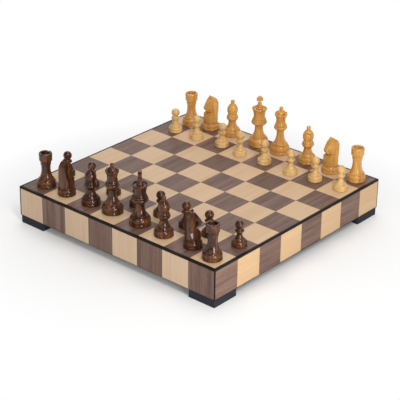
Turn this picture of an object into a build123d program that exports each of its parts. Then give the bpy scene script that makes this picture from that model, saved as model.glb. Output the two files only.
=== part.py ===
from build123d import *
import math
import os

# A chess box on four feet: a chequered top and sides, two drawers that open on opposite sides,
# and the thirty-two turned and carved men standing on the board.
# Millimetres, +Z up. The origin is the middle of the box at the surface its feet stand on.
# +X runs along each player's edge and +Y runs from the dark men's side to the light men's side.

# ---------------------------------------------------------------- driving sizes of the box
squares_across = 8
square = 44.45
foot_height = 11.5
foot_size = 44.0
foot_inset = 0.6
foot_chamfer = 1.0
case_height = 44.45
veneer = 0.6
side_thickness = 9.0
band_width = 3.2
band_height = 3.0
band_chamfer = 0.4
corner_strip = 1.5
top_core_thickness = 6.0
bottom_lip = 1.0
bottom_thickness = 3.0
divider_thickness = 8.0
running_gap = 0.3
standing_gap = 0.05

# ---------------------------------------------------------------- driving sizes of a drawer
drawer_wall = 6.0
drawer_bottom_thickness = 3.0
drawer_head_room = 0.5
drawer_back_gap = 0.8
joint_tongue = 2.0
lining_thickness = 0.8
runner_depth = 2.8
runner_height = 5.0
runner_setback = 12.0
runner_drop = 13.0
finger_length = 42.0
finger_depth = 6.0
finger_width = 4.4
finger_lip = 2.4

# ---------------------------------------------------------------- driving sizes of the foot screws
screw_radius = 1.6
screw_head_radius = 3.4
screw_head_height = 2.0
screw_recess = 3.5
screw_bite = 2.4
screw_slot = 0.8
hole_clearance = 0.1

# ---------------------------------------------------------------- driving sizes of the men
king_height, king_base = 76.5, 29.2
queen_height, queen_base = 72.0, 29.2
bishop_height, bishop_base = 56.5, 26.4
knight_height, knight_base = 52.5, 25.4
rook_height, rook_base = 49.8, 26.6
pawn_height, pawn_base = 36.0, 20.8
rook_slots = 4
rook_slot_width = 2.2
rook_slot_depth = 1.8
rook_well_depth = 4.0
coronet_notches = 9
cross_width, cross_thickness = 9.2, 5.4
cross_centre, cross_bite = 4.2, 0.708
king_stalk_share = 0.872
cross_arris = 0.4
mitre_slit_width = 0.9
mitre_slit_depth = 3.0
mane_grooves = 6
mane_groove_width = 0.8
mane_groove_depth = 0.7
mouth_width = 0.8
eye_radius = 0.9
nostril_radius = 0.55

# ---------------------------------------------------------------- sizes that follow from those above
half = squares_across * square / 2
board_top = foot_height + case_height
band_low = board_top - band_height
core_low = board_top - veneer - top_core_thickness
lip_top = foot_height + bottom_lip
bottom_top = foot_height + bottom_thickness
inner_half = half - side_thickness
front_low = foot_height + running_gap
front_high = band_low - running_gap
drawer_half = inner_half - running_gap
drawer_low = bottom_top + drawer_head_room
drawer_floor = drawer_low + drawer_bottom_thickness
drawer_high = core_low - drawer_head_room
drawer_front = inner_half
drawer_back = divider_thickness / 2 + drawer_back_gap
runner_middle = drawer_high - runner_drop

# How far each man stands off the middle of its square, in squares along X and Y, and its turn
# about Z in degrees. Knights' turns are the way their noses point from +X.
dark_back_rank = [
    ("rook_left", 0.094, 0.094, 20),
    ("knight_left", -0.014, 0.106, 97),
    ("bishop_left", 0.007, 0.134, 70),
    ("queen", -0.126, 0.177, 0),
    ("king", 0.024, 0.157, 131),
    ("bishop_right", 0.015, 0.107, 100),
    ("knight_right", 0.111, 0.143, 60),
    ("rook_right", -0.006, -0.027, 50),
]
light_back_rank = [
    ("rook_left", 0.21, -0.192, 75),
    ("knight_left", -0.034, -0.061, 255),
    ("bishop_left", -0.145, 0.015, 150),
    ("king", 0.019, -0.01, 41),
    ("queen", -0.088, -0.01, 0),
    ("bishop_right", 0.04, -0.006, 300),
    ("knight_right", 0.02, -0.083, 252),
    ("rook_right", 0.001, -0.032, 5),
]
dark_pawns = [
    (0.032, 0.091),
    (0.145, 0.048),
    (0.039, 0.086),
    (0.10, 0.0),
    (0.098, -0.016),
    (0.136, -0.037),
    (0.009, -0.016),
    (0.056, 0.097),
]
light_pawns = [
    (0.241, -0.04),
    (0.153, 0.005),
    (0.178, 0.10),
    (0.06, -0.034),
    (0.064, -0.011),
    (0.17, -0.062),
    (0.051, 0.065),
    (0.029, 0.075),
]


# ---------------------------------------------------------------- helpers
def block(x_span, y_span, z_span):
    """A rectangular block that fills three (low, high) spans."""
    spans = (x_span, y_span, z_span)
    size = [high - low for low, high in spans]
    middle = [(high + low) / 2 for low, high in spans]
    return Pos(*middle) * Box(*size)


def prism(points, z_span):
    """A plan outline raised from the low to the high end of z_span."""
    low, high = z_span
    face = make_face(Polyline(*points, close=True))
    return Pos(0, 0, low) * extrude(face, amount=high - low)


def half_turned(solid):
    """The same solid on the other side of the box."""
    return Rot(0, 0, 180) * solid


def is_walnut(column, row):
    return (column + row) % 2 == 0


def square_span(index, limit):
    """One square's span across the board, cut short at the limit either side."""
    low = -half + index * square
    return max(low, -limit), min(low + square, limit)


# ---------------------------------------------------------------- the case
def top_core():
    """The top panel, rabbeted so that the sides and the drawer fronts tuck under its rim."""
    rim = half - band_width
    upper = block((-rim, rim), (-rim, rim), (band_low, board_top - veneer))
    depth = drawer_front - running_gap
    lower = block((-inner_half, inner_half), (-depth, depth), (core_low, band_low))
    return upper + lower


def top_squares(walnut):
    """The veneer squares of one wood; the outer ones are cut short at the edge band."""
    limit = half - band_width
    rows = range(squares_across)
    cells = [(column, row) for column in rows for row in rows if is_walnut(column, row) == walnut]
    thickness = (board_top - veneer, board_top)
    return [block(square_span(column, limit), square_span(row, limit), thickness) for column, row in cells]


def top_edge_band():
    """Four mitred strips let into the rim of the top, their outer arris eased."""
    inner = half - band_width
    outline = [(-half, -half), (half, -half), (inner, -inner), (-inner, -inner)]
    strip = prism(outline, (band_low, board_top))
    arris = strip.edges().filter_by(Axis.X).group_by(Axis.Z)[-1].sort_by(Axis.Y)[0]
    strip = chamfer(arris, band_chamfer)
    return [Rot(0, 0, turn) * strip for turn in (0, 90, 180, 270)]


def corner_strips():
    """Thin square strips that close the four upright corners."""
    low = half - corner_strip
    strip = block((low, half), (low, half), (lip_top, band_low))
    return [Rot(0, 0, turn) * strip for turn in (0, 90, 180, 270)]


def right_side():
    """A fixed side, mitred at its ends where the drawer fronts close against it."""
    skin = half - veneer
    corner = half - corner_strip
    near = [(skin, -corner), (corner, -corner), (inner_half, -inner_half)]
    far = [(x, -y) for x, y in reversed(near)]
    return prism(near + far, (lip_top, band_low))


def side_panels(walnut):
    """Veneer panels of one wood on both fixed sides, each the other colour than the square above."""
    limit = half - corner_strip
    panels = []
    for column, low in ((0, -half), (squares_across - 1, half - veneer)):
        for row in range(squares_across):
            if is_walnut(column, row) != walnut:
                panels.append(block((low, low + veneer), square_span(row, limit), (lip_top, band_low)))
    return panels


def foot_places():
    """The middles of the four feet."""
    reach = half - foot_inset - foot_size / 2
    return [(x, y) for x in (-reach, reach) for y in (-reach, reach)]


def bottom_panel():
    """The bottom, with a thin lip under each fixed side and the feet's pilot holes."""
    depth = drawer_front - running_gap
    corner = half - corner_strip
    panel = block((-inner_half, inner_half), (-depth, depth), (foot_height, bottom_top))
    near = [(half, -half), (corner, -half), (corner, -corner), (inner_half, -inner_half)]
    lip = prism(near + [(x, -y) for x, y in reversed(near)], (foot_height, lip_top))
    panel = panel + lip + half_turned(lip)
    for x, y in foot_places():
        radius = screw_radius + hole_clearance / 2
        panel -= Pos(x, y, foot_height) * Cylinder(radius, 2 * bottom_thickness)
    return panel


def centre_divider():
    """The board across the middle that parts the drawers and carries the top."""
    reach = divider_thickness / 2
    return block((-inner_half, inner_half), (-reach, reach), (bottom_top, core_low))


def drawer_runners():
    """Four hardwood strips on the fixed sides; the drawers hang on them by their grooves."""
    near_end = drawer_front - runner_setback
    far_end = divider_thickness / 2
    height = (runner_middle - runner_height / 2, runner_middle + runner_height / 2)
    across = (inner_half - runner_depth, inner_half)
    runners = [block(across, span, height) for span in ((-near_end, -far_end), (far_end, near_end))]
    return runners + [half_turned(runner) for runner in runners]


def corner_feet():
    """Square feet with eased edges, each bored for one screw whose head is sunk."""
    feet = []
    for x, y in foot_places():
        foot = Pos(x, y, foot_height / 2) * Box(foot_size, foot_size, foot_height)
        foot = chamfer(foot.edges().filter_by(Axis.Z), foot_chamfer)
        foot = chamfer(foot.edges().group_by(Axis.Z)[0], foot_chamfer / 2)
        foot -= Pos(x, y, foot_height / 2) * Cylinder(screw_radius + hole_clearance, foot_height)
        bore = Cylinder(screw_head_radius + hole_clearance, 2 * screw_recess)
        foot -= Pos(x, y, 0) * bore
        feet.append(foot)
    return feet


def foot_screws():
    """Slotted pan-head screws, driven up through the feet into the bottom."""
    shank_top = foot_height + screw_bite
    screws = []
    for x, y in foot_places():
        shank_height = (shank_top + screw_recess) / 2
        screw = Pos(x, y, shank_height) * Cylinder(screw_radius, shank_top - screw_recess)
        head_middle = screw_recess - screw_head_height / 2
        screw += Pos(x, y, head_middle) * Cylinder(screw_head_radius, screw_head_height)
        slot = Box(2 * screw_head_radius + 1, screw_slot, screw_slot * 2)
        screw -= Pos(x, y, screw_recess - screw_head_height) * slot
        screws.append(screw)
    return screws


# ---------------------------------------------------------------- one drawer, at the dark men's side
def drawer_front_board():
    """The front's core, mitred at its ends and grooved underneath for the fingertips.

    Its lowest edge stands as proud as the veneer above it, and is stained black.
    """
    end = half - corner_strip - running_gap
    mitre_gap = running_gap * math.sqrt(2)
    back = drawer_front - mitre_gap
    right = [(end, -half), (end, -end - mitre_gap), (back, -drawer_front)]
    left = [(-x, y) for x, y in reversed(right)]
    board = prism(right + left, (front_low, front_high))
    board -= block((-half, half), (-half, veneer - half), (lip_top, front_high))
    groove_front = half - finger_lip
    reach = finger_length / 2
    depth = (-groove_front, finger_width - groove_front)
    return board - block((-reach, reach), depth, (foot_height, front_low + finger_depth))


def drawer_front_panels(walnut):
    """The chequered veneer on the front."""
    limit = half - corner_strip - running_gap
    thickness = (-half, veneer - half)
    columns = [column for column in range(squares_across) if is_walnut(column, 0) != walnut]
    return [block(square_span(column, limit), thickness, (lip_top, front_high)) for column in columns]


def drawer_sides():
    """Both sides, grooved outside for the runners and rebated behind for the back."""
    height = (drawer_floor, drawer_high)
    outside = block((drawer_half - drawer_wall, drawer_half), (-drawer_front, -drawer_back), height)
    groove_half = runner_height / 2 + running_gap
    groove_front = drawer_front - runner_setback + running_gap
    groove = block(
        (drawer_half - runner_depth, drawer_half),
        (-groove_front, -drawer_back),
        (runner_middle - groove_half, runner_middle + groove_half),
    )
    tongue_seat = block(
        (drawer_half - drawer_wall, drawer_half - drawer_wall + joint_tongue),
        (-drawer_back - drawer_wall, -drawer_back),
        height,
    )
    right = outside - groove - tongue_seat
    return [right, mirror(right, about=Plane.YZ)]


def drawer_back_board():
    """The back, let into the sides at both ends."""
    reach = drawer_half - drawer_wall + joint_tongue
    return block((-reach, reach), (-drawer_back - drawer_wall, -drawer_back), (drawer_floor, drawer_high))


def drawer_bottom_board():
    return block((-drawer_half, drawer_half), (-drawer_front, -drawer_back), (drawer_low, drawer_floor))


def drawer_lining():
    """Felt laid on the drawer's bottom, a running gap short of the walls."""
    reach = drawer_half - drawer_wall - running_gap
    near = drawer_front - running_gap
    far = drawer_back + drawer_wall + running_gap
    return block((-reach, reach), (-near, -far), (drawer_floor, drawer_floor + lining_thickness))


# ---------------------------------------------------------------- turned men
class Turning:
    """The outline of a turned man, drawn upwards from the middle of its foot, then revolved.

    Heights are shares of the man's height; radii and bulges are shares of its base radius.
    """

    def __init__(self, height, base_diameter):
        self.height = height
        self.radius = base_diameter / 2
        self.edges = []
        self.tip = (0, 0)

    def to(self, height_share, radius_share, bulge_share=0):
        """Draws to the next point, straight or in an arc that bulges out (+) or in (-)."""
        start = Vector(*self.tip)
        end = Vector(radius_share * self.radius, height_share * self.height)
        if bulge_share:
            outward = Vector(end.Y - start.Y, start.X - end.X).normalized()
            middle = (start + end) / 2 + outward * bulge_share * self.radius
            self.edges.append(ThreePointArc(start, middle, end))
        else:
            self.edges.append(Line(start, end))
        self.tip = (end.X, end.Y)
        return self

    def dome(self):
        """Closes the outline with an arc, centred on the axis, that ends at the man's top."""
        across, low = self.tip
        middle = (self.height**2 - low**2 - across**2) / (2 * (self.height - low))
        radius = self.height - middle
        halfway = (math.atan2(low - middle, across) + math.pi / 2) / 2
        crest = (radius * math.cos(halfway), middle + radius * math.sin(halfway))
        self.edges.append(ThreePointArc(self.tip, crest, (0, self.height)))
        self.tip = (0, self.height)
        return self

    def ball(self, radius_share):
        """Ends the man in a ball, met by a neck as thick as the outline is here."""
        radius = radius_share * self.radius
        neck = self.tip[0]
        low = self.height - radius - math.sqrt(radius**2 - neck**2)
        self.edges.append(Line(self.tip, (neck, low)))
        self.tip = (neck, low)
        return self.dome()

    def foot(self, swell_top, swell_radius):
        """The foot ring, its groove, the swelling above it and the bead on top of that."""
        groove = 3.9 / self.height
        self.to(0, 0.955).to(0.75 / self.height, 1).to(3.1 / self.height, 0.99)
        self.to(groove, 0.95).to(groove + 0.7 / self.height, 0.965)
        self.to(swell_top, swell_radius, (1 - swell_radius) * 0.4)
        self.to(swell_top, swell_radius - 0.04)
        bead_top = swell_top + 1.7 / self.height
        self.to(bead_top, swell_radius - 0.055, 0.04)
        return self.to(bead_top, swell_radius - 0.1)

    def solid(self):
        outline = make_face(self.edges + [Line(self.tip, (0, 0))])
        return revolve(Plane.XZ * outline, Axis.Z)


def king_cross():
    """The king's flared cross, drawn across X about its own middle and cut from flat stock."""
    arm = cross_width / 2
    low = cross_centre + king_stalk_share * king_height - cross_bite - king_height
    waist = 0.16 * cross_width
    right = [
        (0.28 * cross_width, cross_centre),
        (waist, waist),
        (arm, 0.26 * cross_width),
        (arm, -0.26 * cross_width),
        (waist, -waist),
        (0.31 * cross_width, low),
    ]
    left = [(-x, z) for x, z in reversed(right)]
    face = make_face(Polyline(*right, *left, close=True))
    cross = extrude(Plane.XZ * face, amount=cross_thickness / 2, both=True)
    flat_sides = cross.faces().filter_by(Axis.Y)
    return chamfer(flat_sides.edges(), cross_arris)


def king():
    """Stem, triple collar, flared crown hollowed on top, and a cross on a short stalk."""
    man = Turning(king_height, king_base).foot(0.172, 0.765)
    man.to(0.385, 0.425, -0.09).to(0.412, 0.45).to(0.452, 0.72, -0.02)
    man.to(0.503, 0.75, 0.05).to(0.507, 0.69).to(0.543, 0.66, 0.035)
    man.to(0.547, 0.61).to(0.577, 0.595, 0.025)
    man.to(0.577, 0.57).to(0.752, 0.765, -0.07).to(0.766, 0.745, 0.01)
    man.to(0.766, 0.66).to(0.742, 0.56).to(0.748, 0.34, 0.02)
    man.to(0.80, 0.22, 0.03).to(0.807, 0.27).to(0.827, 0.27, 0.02).to(0.833, 0.21)
    man.to(king_stalk_share, 0.205).to(king_stalk_share, 0)
    return man.solid() + Pos(0, 0, king_height - cross_centre) * king_cross()


def queen():
    """Stem, double collar, flared coronet cut with shallow notches, dome and ball."""
    man = Turning(queen_height, queen_base).foot(0.183, 0.775)
    man.to(0.452, 0.37, -0.10).to(0.478, 0.40).to(0.522, 0.60, -0.02)
    man.to(0.586, 0.62, 0.05).to(0.59, 0.57).to(0.628, 0.545, 0.03)
    man.to(0.632, 0.51).to(0.70, 0.465, -0.02).to(0.785, 0.53, -0.02).to(0.80, 0.575)
    man.to(0.868, 0.60, 0.045).to(0.868, 0.52).to(0.855, 0.46).to(0.918, 0.17, 0.08).ball(0.20)
    rim_height = 0.872 * queen_height
    rim_radius = 0.62 * queen_base / 2
    notch_radius = math.pi * rim_radius / coronet_notches * 0.62
    notch = Rot(0, 90, 0) * Cylinder(notch_radius, 0.35 * queen_base)
    ring = [Rot(0, 0, 360 * step / coronet_notches) for step in range(coronet_notches)]
    notches = [turn * Pos(rim_radius, 0, rim_height) * notch for turn in ring]
    return man.solid() - [cut - Cylinder(0.45 * queen_base / 2, 3 * queen_height) for cut in notches]


def bishop():
    """Stem, double collar, and a mitre nicked by a slanting slit, with a ball on top."""
    man = Turning(bishop_height, bishop_base).foot(0.176, 0.83)
    man.to(0.395, 0.425, -0.085).to(0.447, 0.575, -0.02).to(0.468, 0.625)
    man.to(0.528, 0.63, 0.045).to(0.532, 0.58).to(0.572, 0.565, 0.03)
    man.to(0.576, 0.53).to(0.61, 0.49, -0.015).to(0.72, 0.60, 0.03).to(0.893, 0.20, 0.105).ball(0.235)
    slit = Box(2 * mitre_slit_depth, 0.6 * bishop_base / 2, mitre_slit_width)
    slit_place = Pos(0.46 * bishop_base / 2, 0, 0.815 * bishop_height)
    return man.solid() - slit_place * Rot(0, -48, 0) * slit


def rook():
    """A tower with a hollow top and a ring of battlements."""
    man = Turning(rook_height, rook_base).foot(0.205, 0.85)
    man.to(0.57, 0.485, -0.09).to(0.655, 0.50).to(0.665, 0.54).to(0.685, 0.55, 0.015)
    man.to(0.69, 0.53).to(0.79, 0.68, -0.02).to(0.985, 0.70, 0.005).to(1, 0.665).to(1, 0)
    well_radius = 0.49 * rook_base / 2
    well = Pos(0, 0, rook_height) * Cylinder(well_radius, 2 * rook_well_depth)
    slot = Box(rook_base, rook_slot_width, 2 * rook_slot_depth)
    turns = [360 * step / rook_slots for step in range(rook_slots // 2)]
    slots = [Pos(0, 0, rook_height) * Rot(0, 0, turn) * slot for turn in turns]
    return man.solid() - well - slots


def pawn():
    """Foot, short stem, one collar and a ball."""
    man = Turning(pawn_height, pawn_base).foot(0.217, 0.77)
    man.to(0.478, 0.345, -0.075).to(0.516, 0.40).to(0.558, 0.54, -0.01)
    man.to(0.628, 0.54, 0.055).to(0.645, 0.44).to(0.685, 0.375, -0.015).ball(0.587)
    return man.solid()


# ---------------------------------------------------------------- the carved knight
# Its outlines are drawn in shares of the knight's base radius (along and across) and height (up).
knight_breadths = [
    (0.86, 0.21), (0.79, 0.30), (0.66, 0.42), (0.55, 0.55), (0.47, 0.70), (0.40, 0.84), (0.24, 1.02)
]


def knight_point(along_share, up_share):
    return along_share * knight_base / 2, up_share * knight_height


def knight_side_outline():
    """The horse's head and neck seen from the side, its nose towards +X."""

    def curve(*shares):
        return Spline(*[knight_point(*share) for share in shares])

    ear_back, ear_tip, ear_root = (-0.20, 0.955), (0.0, 1.0), (0.13, 0.943)
    nose_top, lip, chin, throat = (0.82, 0.70), (0.80, 0.61), (0.62, 0.578), (0.16, 0.552)
    chest_foot, mane_foot = (0.80, 0.225), (-0.80, 0.225)
    face = curve(ear_root, (0.26, 0.90), (0.50, 0.825), nose_top)
    muzzle = curve(nose_top, (0.875, 0.66), lip)
    mouth = curve(lip, (0.70, 0.588), chin)
    jaw = curve(chin, (0.40, 0.572), throat)
    chest = curve(throat, (0.36, 0.505), (0.66, 0.445), (0.82, 0.34), chest_foot)
    mane = curve(ear_back, (-0.40, 0.945), (-0.66, 0.885), (-0.80, 0.78), (-0.82, 0.60), mane_foot)
    ear = Polyline(knight_point(*ear_back), knight_point(*ear_tip), knight_point(*ear_root))
    base = Line(knight_point(*mane_foot), knight_point(*chest_foot))
    return make_face([face, muzzle, mouth, jaw, chest, base, mane, ear])


def knight_half_breadth(up_share):
    """Half the head's breadth at one height, in mm."""
    for (wide, low), (narrow, high) in zip(knight_breadths, knight_breadths[1:]):
        if low <= up_share <= high:
            return knight_base / 2 * (wide + (narrow - wide) * (up_share - low) / (high - low))


def knight_front_outline():
    """The same head seen from the front, wide at the chest and narrow at the ears."""
    side = Spline(*[knight_point(*share) for share in knight_breadths])
    low, high = side @ 0, side @ 1
    other = mirror(side, about=Plane.YZ)
    return make_face([side, other, Line(low, (-low.X, low.Y)), Line(high, (-high.X, high.Y))])


def knight_blank():
    """The turned blank that the horse is carved from."""
    stock = [(0, 0.21), (0.83, 0.21), (0.86, 0.27), (0.84, 0.42), (0.90, 0.60), (0.90, 1.05), (0, 1.05)]
    outline = make_face(Polyline(*[knight_point(*share) for share in stock], close=True))
    return revolve(Plane.XZ * outline, Axis.Z)


def knight_cheek_cuts():
    """The wedges sawn off beside the face, so that it narrows towards the nose."""
    reach = knight_base / 2
    plan = [(-0.12, 0.50), (1.0, 0.20), (1.0, 1.0), (-0.12, 1.0)]
    heights = (0.555 * knight_height, 1.1 * knight_height)
    wedge = prism([(along * reach, across * reach) for along, across in plan], heights)
    return [wedge, mirror(wedge, about=Plane.XZ)]


def both_sides(piece, along, across, up):
    """A small piece set on both sides of the head."""
    return [Pos(along, side * across, up) * piece for side in (-1, 1)]


def mane_cuts():
    """Slanting grooves down both sides of the mane."""
    low, high = 0.34, 0.86
    pitch = (high - low) / (mane_grooves - 1)
    thickness = 4 * mane_groove_depth
    slab = Rot(0, -38, 0) * Box(0.42 * knight_base, thickness, mane_groove_width)
    cuts = []
    for step in range(mane_grooves):
        up_share = low + step * pitch
        across = knight_half_breadth(up_share) - mane_groove_depth + thickness / 2
        cuts += both_sides(slab, -0.37 * knight_base, across, up_share * knight_height)
    return cuts


def knight():
    """A turned foot that carries the horse's head, with cheeks, eyes, parted ears and a mane."""
    foot = Turning(knight_height, knight_base).foot(0.178, 0.88).to(0.24, 0.74).to(0.24, 0)
    reach = knight_base / 2
    side = extrude(Plane.XZ * knight_side_outline(), amount=reach, both=True)
    front = extrude(Plane.YZ * knight_front_outline(), amount=2 * reach, both=True)
    head = (side & front & knight_blank()) - knight_cheek_cuts()
    cheek = Cone(0.42 * reach, 0.31 * reach, 0.22 * reach)
    for hand in (-1, 1):
        place = Pos(0.13 * reach, hand * 0.35 * reach, 0.665 * knight_height)
        head += place * Rot(-90 * hand, 0, 0) * cheek
    mouth = Pos(0.76 * reach, 0, 0.625 * knight_height) * Rot(0, 20, 0)
    head -= mouth * Box(0.40 * reach, knight_base, mouth_width)
    ear_gap = Rot(45, 0, 0) * Box(0.6 * reach, 0.20 * reach, 0.20 * reach)
    head -= Pos(0, 0, knight_height) * ear_gap
    head -= both_sides(Sphere(nostril_radius), 0.78 * reach, 0.26 * reach, 0.68 * knight_height)
    head += Pos(0.33 * reach, 0, 0.815 * knight_height) * Rot(90, 0, 0) * Cylinder(eye_radius, 0.8 * reach)
    return foot.solid() + head - mane_cuts()


# ---------------------------------------------------------------- setting the men out
MAKERS = {"king": king, "queen": queen, "bishop": bishop, "knight": knight, "rook": rook, "pawn": pawn}


def stand(man, column, row, off_x, off_y, turn=0):
    """Stands a man on one square of the board."""
    x = (column + 0.5 + off_x) * square - half
    y = (row + 0.5 + off_y) * square - half
    return Pos(x, y, board_top + standing_gap) * Rot(0, 0, turn) * man


def men():
    """All thirty-two men, by node name."""
    shapes = {kind: maker() for kind, maker in MAKERS.items()}
    last_row = squares_across - 1
    placed = {}
    ranks = (("dark", dark_back_rank, 0), ("light", light_back_rank, last_row))
    for shade, rank, row in ranks:
        for column, (name, off_x, off_y, turn) in enumerate(rank):
            kind = name.split("_")[0]
            placed[f"{shade}_{name}"] = stand(shapes[kind], column, row, off_x, off_y, turn)
    for shade, pawns, row in (("dark", dark_pawns, 1), ("light", light_pawns, last_row - 1)):
        for column, (off_x, off_y) in enumerate(pawns):
            placed[f"{shade}_pawn_{column + 1}"] = stand(shapes["pawn"], column, row, off_x, off_y)
    return placed


# ---------------------------------------------------------------- the whole set, by node name
def drawer_pieces():
    return {
        "front": drawer_front_board(),
        "maple_panels": drawer_front_panels(walnut=False),
        "walnut_panels": drawer_front_panels(walnut=True),
        "sides": drawer_sides(),
        "back": drawer_back_board(),
        "bottom": drawer_bottom_board(),
        "lining": drawer_lining(),
    }


def all_pieces():
    pieces = {
        "top_core": top_core(),
        "top_maple_squares": top_squares(walnut=False),
        "top_walnut_squares": top_squares(walnut=True),
        "top_edge_band": top_edge_band(),
        "corner_strips": corner_strips(),
        "left_side": half_turned(right_side()),
        "right_side": right_side(),
        "side_maple_panels": side_panels(walnut=False),
        "side_walnut_panels": side_panels(walnut=True),
        "bottom_panel": bottom_panel(),
        "centre_divider": centre_divider(),
        "drawer_runners": drawer_runners(),
        "corner_feet": corner_feet(),
        "foot_screws": foot_screws(),
    }
    for name, piece in drawer_pieces().items():
        solids = piece if isinstance(piece, list) else [piece]
        pieces[f"dark_drawer_{name}"] = solids
        pieces[f"light_drawer_{name}"] = [half_turned(solid) for solid in solids]
    pieces.update(men())
    return pieces


os.makedirs("parts", exist_ok=True)
for node, shape in all_pieces().items():
    solids = shape if isinstance(shape, list) else [shape]
    export_step(Compound(children=solids) if len(solids) > 1 else solids[0], f"parts/{node}.step")
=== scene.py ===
import bpy
import bmesh
import math
from mathutils import Matrix, Vector


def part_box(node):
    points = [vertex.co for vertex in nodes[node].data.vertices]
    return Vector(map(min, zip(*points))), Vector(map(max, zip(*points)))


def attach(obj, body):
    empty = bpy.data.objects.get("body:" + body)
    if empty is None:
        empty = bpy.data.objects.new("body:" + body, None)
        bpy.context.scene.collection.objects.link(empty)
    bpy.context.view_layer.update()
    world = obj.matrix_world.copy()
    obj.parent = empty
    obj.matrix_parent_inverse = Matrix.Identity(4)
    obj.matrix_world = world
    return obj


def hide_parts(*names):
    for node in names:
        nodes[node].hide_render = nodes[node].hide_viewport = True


# A chess box on four corner feet, its two drawers shut, with the men set out for play.
# Metres, in the CAD model's frame: the dark men's side faces -Y and the light men's side +Y.

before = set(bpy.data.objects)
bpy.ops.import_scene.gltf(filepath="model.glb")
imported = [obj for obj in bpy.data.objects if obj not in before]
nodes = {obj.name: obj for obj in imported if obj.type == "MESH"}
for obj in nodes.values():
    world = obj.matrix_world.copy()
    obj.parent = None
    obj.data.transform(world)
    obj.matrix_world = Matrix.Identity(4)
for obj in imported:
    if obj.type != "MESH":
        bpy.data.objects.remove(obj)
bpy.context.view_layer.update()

# One square of the board, and the top of the black lower edge of the drawers' fronts.
SQUARE = 0.04445
BLACK_EDGE_TOP = 0.0125


# ---------------------------------------------------------------- writing materials
class Finish:
    """A material and its nodes, with one short call for each kind of node."""

    def __init__(self, name):
        self.material = bpy.data.materials.new(name)
        self.material.use_nodes = True
        self.tree = self.material.node_tree
        self.shader = self.tree.nodes["Principled BSDF"]
        self.place = self.node("TexCoord").outputs["Object"]

    def node(self, kind, **settings):
        made = self.tree.nodes.new("ShaderNode" + kind)
        for name, value in settings.items():
            setattr(made, name, value)
        return made

    def feed(self, socket, value):
        """Links a socket to another node's output, or sets its own value."""
        if isinstance(value, bpy.types.NodeSocket):
            self.tree.links.new(value, socket)
        else:
            socket.default_value = value

    def math(self, operation, first, second=0.0, third=0.0):
        made = self.node("Math", operation=operation)
        self.feed(made.inputs[0], first)
        self.feed(made.inputs[1], second)
        self.feed(made.inputs[2], third)
        return made.outputs[0]

    def vector(self, operation, first, second=(0, 0, 0)):
        made = self.node("VectorMath", operation=operation)
        self.feed(made.inputs[0], first)
        self.feed(made.inputs[1], second)
        is_number = operation in ("LENGTH", "DOT_PRODUCT")
        return made.outputs["Value" if is_number else "Vector"]

    def noise(self, place, scale, detail=2.0, roughness=0.5, distortion=0.0):
        """Noise from 0 to 1, finer by scale along each axis of the place it is read at."""
        made = self.node("TexNoise")
        self.feed(made.inputs["Vector"], self.vector("MULTIPLY", place, scale))
        made.inputs["Scale"].default_value = 1.0
        made.inputs["Detail"].default_value = detail
        made.inputs["Roughness"].default_value = roughness
        made.inputs["Distortion"].default_value = distortion
        return made.outputs["Fac"]

    def spread(self, value, low, high, to_low=0.0, to_high=1.0):
        """Stretches the values from low to high over a new range, and holds them in it."""
        made = self.node("MapRange")
        self.feed(made.inputs["Value"], value)
        limits = {"From Min": low, "From Max": high, "To Min": to_low, "To Max": to_high}
        for name, number in limits.items():
            made.inputs[name].default_value = number
        return made.outputs["Result"]

    def sway(self, tone, noise, strength):
        """A tone that a noise moves up and down by its strength, about the noise's middle."""
        return self.math("MULTIPLY_ADD", self.math("SUBTRACT", noise, 0.5), strength, tone)

    def weigh(self, first, second, second_share):
        """Two numbers added together in shares that make up 1."""
        first_part = self.math("MULTIPLY", first, 1 - second_share)
        second_part = self.math("MULTIPLY", second, second_share)
        return self.math("ADD", first_part, second_part)

    def ramp(self, value, stops):
        """Colours that follow a value, from stops of (position, colour)."""
        made = self.node("ValToRGB")
        points = made.color_ramp.elements
        while len(points) < len(stops):
            points.new(0.5)
        for point, (position, colour) in zip(points, stops):
            point.position = position
            point.color = (*colour, 1)
        self.feed(made.inputs["Fac"], value)
        return made.outputs["Color"]

    def mix(self, share, first, second):
        """The first colour where the share is 0, and the second where it is 1."""
        made = self.node("Mix", data_type="RGBA")
        self.feed(made.inputs["Factor"], share)
        self.feed(made.inputs[6], first)
        self.feed(made.inputs[7], second)
        return made.outputs[2]

    def eased_normal(self, radius):
        """The way the surface faces, with its edges rounded over by a radius."""
        made = self.node("Bevel", samples=4)
        made.inputs["Radius"].default_value = radius
        return made.outputs["Normal"]

    def bump(self, height, depth, soft_edge=0.0):
        """Raises the surface by depth (metres) where height is 1, and eases its edges."""
        made = self.node("Bump")
        made.inputs["Distance"].default_value = depth
        self.feed(made.inputs["Height"], height)
        if soft_edge:
            self.feed(made.inputs["Normal"], self.eased_normal(soft_edge))
        self.feed(self.shader.inputs["Normal"], made.outputs["Normal"])

    def set(self, **values):
        """Sets the shader's sockets, named with underscores for spaces, and gives the material."""
        for name, value in values.items():
            self.feed(self.shader.inputs[name.replace("_", " ")], value)
        return self.material


def along(grain, across, lengthwise):
    """A noise scale per metre: fine across the grain, long along it. Grain is X, Y or Z."""
    return tuple(lengthwise if axis == grain else across for axis in "XYZ")


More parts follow.
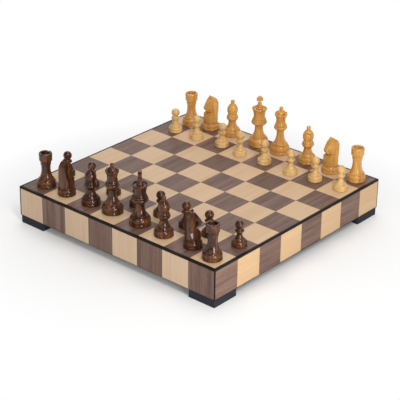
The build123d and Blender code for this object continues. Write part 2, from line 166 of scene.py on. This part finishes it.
# ---------------------------------------------------------------- wood veneers and boards
MAPLE = ((0.0, (0.53, 0.33, 0.18)), (0.45, (0.65, 0.44, 0.265)), (1.0, (0.74, 0.53, 0.34)))
# Painted light: the fronts' maple is the top's maple made paler and cooler, and the sides' maple is
# made warmer and more golden, to stand in for how the light falls on each face.
MAPLE_PAINTED_COOL_LIGHT = ((0.0, (0.50, 0.33, 0.20)), (0.45, (0.62, 0.44, 0.295)), (1.0, (0.71, 0.53, 0.37)))
MAPLE_PAINTED_WARM_LIGHT = ((0.0, (0.53, 0.32, 0.16)), (0.45, (0.65, 0.43, 0.235)), (1.0, (0.74, 0.52, 0.31)))
WALNUT = ((0.0, (0.068, 0.034, 0.024)), (0.45, (0.163, 0.090, 0.067)), (1.0, (0.30, 0.185, 0.140)))
MAPLE_GRAIN = {"figure": 0.7, "streaks": 0.60, "roughness": 0.38}
WALNUT_GRAIN = {"figure": 0.9, "streaks": 1.3, "roughness": 0.40}
BOARD = ((0.0, (0.36, 0.25, 0.15)), (0.5, (0.52, 0.39, 0.25)), (1.0, (0.64, 0.50, 0.34)))
BLACK = (0.009, 0.006, 0.005)
FEET_BLACK = (0.024, 0.026, 0.034)


def veneer(name, tones, grain, cells, figure, streaks, roughness):
    """Lacquered veneer laid in squares. Each square is cut from another part of the leaf.

    Cells says along which axes the squares change, as 1s and 0s. Figure and streaks are how
    much the broad bands and the fine lines of the grain darken and lighten it.
    """
    finish = Finish(name)
    per_square = tuple(cell / SQUARE for cell in cells)
    cell = finish.vector("FLOOR", finish.vector("MULTIPLY", finish.place, per_square))
    random = finish.node("TexWhiteNoise")
    finish.feed(random.inputs["Vector"], finish.vector("ADD", cell, (0.5, 0.5, 0.5)))
    leaf = finish.vector("ADD", finish.place, random.outputs["Color"])
    bands = finish.noise(leaf, along(grain, across=110, lengthwise=5), detail=3, distortion=0.4)
    lines = finish.noise(leaf, along(grain, across=620, lengthwise=14), detail=3, roughness=0.6)
    pores = finish.noise(leaf, along(grain, across=2400, lengthwise=110), detail=1)
    dips = finish.spread(pores, 0.60, 0.72)
    tone = finish.spread(random.outputs["Value"], 0, 1, to_low=0.40, to_high=0.56)
    tone = finish.sway(tone, bands, figure)
    tone = finish.sway(tone, lines, streaks)
    tone = finish.math("MULTIPLY_ADD", dips, -0.3 * streaks, tone)
    finish.bump(finish.math("SUBTRACT", lines, dips), depth=0.00003)
    return finish.set(
        Base_Color=finish.ramp(tone, tones),
        Roughness=finish.spread(lines, 0.3, 0.7, roughness - 0.05, roughness + 0.07),
        Specular_IOR_Level=0.30,
    )


def board(name, grain, black_below=None):
    """Plain unpolished boards with an even grain and small pores.

    The part of the board below a height in metres, where one is given, is coloured black.
    """
    finish = Finish(name)
    bands = finish.noise(finish.place, along(grain, across=70, lengthwise=4), detail=4, distortion=0.6)
    lines = finish.noise(finish.place, along(grain, across=900, lengthwise=22), detail=2)
    colour = finish.ramp(finish.weigh(bands, lines, 0.4), BOARD)
    if black_below:
        height = finish.node("SeparateXYZ")
        finish.feed(height.inputs[0], finish.place)
        bare = finish.math("GREATER_THAN", height.outputs["Z"], black_below)
        colour = finish.mix(bare, (*BLACK, 1), colour)
    finish.bump(lines, depth=0.00006, soft_edge=0.0003)
    return finish.set(Base_Color=colour, Roughness=0.62)


# ---------------------------------------------------------------- black trim and feet
def black_lacquer(name, colour, roughness):
    """Stained wood under lacquer: a faint grain, rubbed paler along the edges."""
    finish = Finish(name)
    edge_radius = 0.0004
    grain = finish.noise(finish.place, (500, 500, 500), detail=3)
    facing = finish.node("NewGeometry").outputs["Normal"]
    evenness = finish.vector("DOT_PRODUCT", finish.eased_normal(edge_radius), facing)
    edge = finish.spread(evenness, 0.80, 1.0, to_low=1.0, to_high=0.0)
    wear = finish.math("MULTIPLY", edge, finish.spread(grain, 0.45, 0.75))
    worn = tuple(3.2 * channel + 0.01 for channel in colour)
    finish.bump(grain, depth=0.00002, soft_edge=edge_radius)
    return finish.set(
        Base_Color=finish.ramp(wear, ((0.0, colour), (1.0, worn))),
        Roughness=finish.spread(grain, 0.3, 0.7, roughness - 0.06, roughness + 0.08),
        Specular_IOR_Level=0.12,
    )


# ---------------------------------------------------------------- polished men
DARK_MEN = (
    (0.0, (0.012, 0.003, 0.0015)),
    (0.42, (0.052, 0.0155, 0.006)),
    (0.70, (0.140, 0.047, 0.013)),
    (1.0, (0.28, 0.105, 0.028)),
)
LIGHT_MEN = ((0.0, (0.46, 0.19, 0.036)), (0.45, (0.66, 0.33, 0.080)), (1.0, (0.78, 0.46, 0.15)))
LIGHT_PAWNS = ((0.0, (0.50, 0.27, 0.085)), (0.45, (0.70, 0.44, 0.175)), (1.0, (0.82, 0.57, 0.28)))


def polished(name, tones, figured, roughness, coat):
    """Turned wood with its grain upright, under clear lacquer.

    Figured is how strongly the grain shows, and coat how much lacquer there is. The wood under
    the lacquer is less smooth than the lacquer.
    """
    finish = Finish(name)
    figure = finish.noise(finish.place, along("Z", across=150, lengthwise=24), detail=2, distortion=0.6)
    lines = finish.noise(finish.place, along("Z", across=900, lengthwise=60), detail=2)
    middle_tone = 0.46
    tone = finish.sway(middle_tone, figure, figured)
    tone = finish.sway(tone, lines, 0.3 * figured)
    finish.bump(lines, depth=0.00002)
    return finish.set(
        Base_Color=finish.ramp(tone, tones),
        Roughness=roughness + 0.25,
        Specular_IOR_Level=0.1,
        Coat_Weight=coat,
        Coat_Roughness=roughness,
    )


# ---------------------------------------------------------------- felt and brass
FELT_GREEN = (0.02, 0.09, 0.045)
TARNISHED_BRASS = (0.46, 0.30, 0.11)
BRIGHT_BRASS = (0.74, 0.54, 0.25)


def felt(name):
    """Napped green felt: matted fibres, soft light at its edges."""
    finish = Finish(name)
    clumps = finish.noise(finish.place, (220, 220, 220), detail=4, roughness=0.7)
    fibres = finish.noise(finish.place, (2600, 2600, 900), detail=2, roughness=0.7)
    deep = tuple(0.55 * channel for channel in FELT_GREEN)
    pale = tuple(1.5 * channel + 0.01 for channel in FELT_GREEN)
    finish.bump(fibres, depth=0.0003)
    return finish.set(
        Base_Color=finish.ramp(
            finish.weigh(clumps, fibres, 0.45), ((0.25, deep), (0.5, FELT_GREEN), (0.8, pale))
        ),
        Roughness=0.95,
        Specular_IOR_Level=0.1,
        Sheen_Weight=0.5,
        Sheen_Roughness=0.5,
    )


def brass(name):
    """Bright brass with turning marks and a little tarnish."""
    finish = Finish(name)
    polish = finish.noise(finish.place, (300, 300, 300), detail=4)
    marks = finish.noise(finish.place, (4000, 4000, 200), detail=2)
    finish.bump(marks, depth=0.00002, soft_edge=0.0002)
    return finish.set(
        Base_Color=finish.ramp(polish, ((0.3, TARNISHED_BRASS), (0.7, BRIGHT_BRASS))),
        Metallic=1.0,
        Roughness=finish.spread(polish, 0.3, 0.7, to_low=0.24, to_high=0.42),
    )


# ---------------------------------------------------------------- the finish of each node
MEN = ("king", "queen", "bishop", "knight", "rook", "pawn")


def kind_of(name):
    """What a node is, by the same name for the dark and the light side's drawers."""
    if name.startswith("light_pawn"):
        return "light_pawn"
    if not name.startswith(("dark_", "light_")):
        return name
    shade, rest = name.split("_", 1)
    return shade + "_man" if rest.startswith(MEN) else rest


def dress():
    """Gives every CAD node its material."""
    top = (1, 1, 0)
    edge_along_x = (1, 0, 0)
    edge_along_y = (0, 1, 0)
    finishes = {
        "top_maple_squares": veneer("maple_top", MAPLE, "Y", top, **MAPLE_GRAIN),
        "top_walnut_squares": veneer("walnut_top", WALNUT, "Y", top, **WALNUT_GRAIN),
        # The sides' and the fronts' maple tones hold painted light: warmer on the sides, paler and
        # cooler on the fronts.
        "side_maple_panels": veneer("maple_side", MAPLE_PAINTED_WARM_LIGHT, "Y", edge_along_y, **MAPLE_GRAIN),
        "side_walnut_panels": veneer("walnut_side", WALNUT, "Y", edge_along_y, **WALNUT_GRAIN),
        "drawer_maple_panels": veneer("maple_front", MAPLE_PAINTED_COOL_LIGHT, "Z", edge_along_x, **MAPLE_GRAIN),
        "drawer_walnut_panels": veneer("walnut_front", WALNUT, "Z", edge_along_x, **WALNUT_GRAIN),
        "top_core": board("core_board", "Y"),
        "left_side": board("case_side", "Y"),
        "right_side": board("case_side_right", "Y"),
        "centre_divider": board("divider", "X"),
        "drawer_runners": board("runner", "Y"),
        "drawer_front": board("front_board", "X", black_below=BLACK_EDGE_TOP),
        "drawer_sides": board("drawer_side", "Y"),
        "drawer_back": board("drawer_back", "X"),
        "drawer_bottom": board("drawer_base", "X"),
        "drawer_lining": felt("felt_under"),
        "top_edge_band": black_lacquer("black_edging", BLACK, roughness=0.36),
        "corner_strips": black_lacquer("black_corner", BLACK, roughness=0.36),
        "bottom_panel": black_lacquer("black_base", BLACK, roughness=0.50),
        "corner_feet": black_lacquer("black_feet", FEET_BLACK, roughness=0.50),
        "foot_screws": brass("screw_brass"),
        "dark_man": polished("dark_wood", DARK_MEN, figured=1.4, roughness=0.03, coat=0.65),
        "light_man": polished("light_wood", LIGHT_MEN, figured=1.3, roughness=0.08, coat=0.6),
        "light_pawn": polished("pale_wood", LIGHT_PAWNS, figured=1.3, roughness=0.08, coat=0.6),
    }
    for name, node in nodes.items():
        node.data.materials.clear()
        node.data.materials.append(finishes[kind_of(name)])


# ---------------------------------------------------------------- felt linings
def lining(shade):
    """A sheet of felt laid in a drawer, in place of its plain CAD solid."""
    node = f"{shade}_drawer_lining"
    low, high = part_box(node)
    size = high - low
    middle = (low + high) / 2
    spacing = 0.005
    edge_drop = 0.95 * size.z
    steps = [max(2, round(length / spacing)) for length in (size.x, size.y)]
    shape = bmesh.new()
    bmesh.ops.create_grid(shape, x_segments=steps[0], y_segments=steps[1], size=0.5)
    bmesh.ops.scale(shape, vec=(size.x, size.y, 1), verts=shape.verts)
    edges = [edge for edge in shape.edges if edge.is_boundary]
    skirt = bmesh.ops.extrude_edge_only(shape, edges=edges)["geom"]
    rim = [vertex for vertex in skirt if isinstance(vertex, bmesh.types.BMVert)]
    bmesh.ops.translate(shape, vec=(0, 0, -edge_drop), verts=rim)
    bmesh.ops.translate(shape, vec=(middle.x, middle.y, high.z), verts=shape.verts)
    bmesh.ops.recalc_face_normals(shape, faces=shape.faces)
    mesh = bpy.data.meshes.new(f"{shade}_felt")
    shape.to_mesh(mesh)
    shape.free()
    mesh.materials.append(felt(f"{shade}_felt"))
    piece = bpy.data.objects.new(f"{shade}_felt", mesh)
    bpy.context.scene.collection.objects.link(piece)
    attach(piece, f"{shade}_drawer")
    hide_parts(node)


# ---------------------------------------------------------------- floor, light and camera
def studio_floor():
    """A pale floor: it keeps the object's shadow near it, and turns to plain white further out."""
    reach = 30
    shaded_to, white_from = 0.21, 0.36
    least_white = 0.08
    corners = [(-reach, -reach, 0), (reach, -reach, 0), (reach, reach, 0), (-reach, reach, 0)]
    mesh = bpy.data.meshes.new("floor")
    mesh.from_pydata(corners, [], [(0, 1, 2, 3)])
    floor = bpy.data.objects.new("floor", mesh)
    bpy.context.scene.collection.objects.link(floor)
    finish = Finish("pale_floor")
    finish.set(Base_Color=(0.92, 0.92, 0.92, 1), Roughness=0.8, Specular_IOR_Level=0.1)
    glow = finish.node("Emission")
    glow.inputs["Strength"].default_value = 1.0
    seen = finish.node("LightPath").outputs
    direct = finish.math("MAXIMUM", seen["Is Camera Ray"], seen["Is Glossy Ray"])
    direct = finish.math("MAXIMUM", direct, seen["Is Transmission Ray"])
    distance = finish.vector("LENGTH", finish.place)
    whiteness = finish.spread(distance, shaded_to, white_from, to_low=least_white, to_high=1.0)
    blend = finish.node("MixShader")
    finish.feed(blend.inputs[0], finish.math("MULTIPLY", direct, whiteness))
    finish.feed(blend.inputs[1], finish.shader.outputs[0])
    finish.feed(blend.inputs[2], glow.outputs[0])
    finish.feed(finish.tree.nodes["Material Output"].inputs["Surface"], blend.outputs[0])
    mesh.materials.append(finish.material)


def studio_world():
    """An even white surround that lights at a low level."""
    world = bpy.data.worlds.new("studio")
    bpy.context.scene.world = world
    world.use_nodes = True
    background = world.node_tree.nodes["Background"]
    background.inputs["Color"].default_value = (1, 1, 1, 1)
    background.inputs["Strength"].default_value = 0.22


def lamp(name, place, aim, width, height, power, colour=(1, 1, 1)):
    """A soft light that faces a point."""
    light = bpy.data.lights.new(name, "AREA")
    light.shape = "RECTANGLE"
    light.size = width
    light.size_y = height
    light.energy = power
    light.color = colour
    holder = bpy.data.objects.new(name, light)
    bpy.context.scene.collection.objects.link(holder)
    holder.location = place
    holder.rotation_euler = (Vector(aim) - Vector(place)).to_track_quat("-Z", "Y").to_euler()


def studio_lamps():
    """Four soft lamps, and a tall narrow one that makes the highlights on the men."""
    box_middle = (0, 0, 0.05)
    men_middle = (0, 0, 0.08)
    beside_front_corner = (0.12, -0.50, 0.08)
    warm = (1, 0.98, 0.93)
    lamp("right_softbox", (0.85, -0.45, 0.22), beside_front_corner, 0.35, 0.35, power=4.2, colour=warm)
    lamp("left_softbox", (0.45, -1.9, 0.9), box_middle, 1.1, 1.1, power=6)
    lamp("top_softbox", (-0.3, 0.5, 2.2), box_middle, 1.5, 1.5, power=19)
    lamp("back_softbox", (-1.6, 1.9, 1.2), box_middle, 2.0, 2.0, power=11)
    lamp("strip_light", (1.25, -0.80, 1.76), men_middle, 0.30, 1.0, power=18)


def camera():
    """The photograph's view, worked out from the board's grid in it."""
    azimuth, elevation, roll = math.radians(40.56), math.radians(26.44), math.radians(0.81)
    place = (1.19280, -1.39447, 0.94094)
    flat = math.cos(elevation)
    ahead = Vector((-math.sin(azimuth) * flat, math.cos(azimuth) * flat, -math.sin(elevation)))
    right = ahead.cross(Vector((0, 0, 1))).normalized()
    up = right.cross(ahead)
    turned_right = math.cos(roll) * right + math.sin(roll) * up
    turned_up = math.cos(roll) * up - math.sin(roll) * right
    view = bpy.data.objects.new("camera", bpy.data.cameras.new("camera"))
    bpy.context.scene.collection.objects.link(view)
    view.data.lens = 131.27
    view.data.sensor_width = 36
    view.data.clip_end = 50
    pose = Matrix((turned_right, turned_up, -ahead)).transposed().to_4x4()
    pose.translation = place
    view.matrix_world = pose
    bpy.context.scene.camera = view


# ---------------------------------------------------------------- the whole scene
dress()
for shade in ("dark", "light"):
    lining(shade)
studio_floor()
studio_world()
studio_lamps()
camera()
bpy.context.scene.view_settings.view_transform = "Standard"
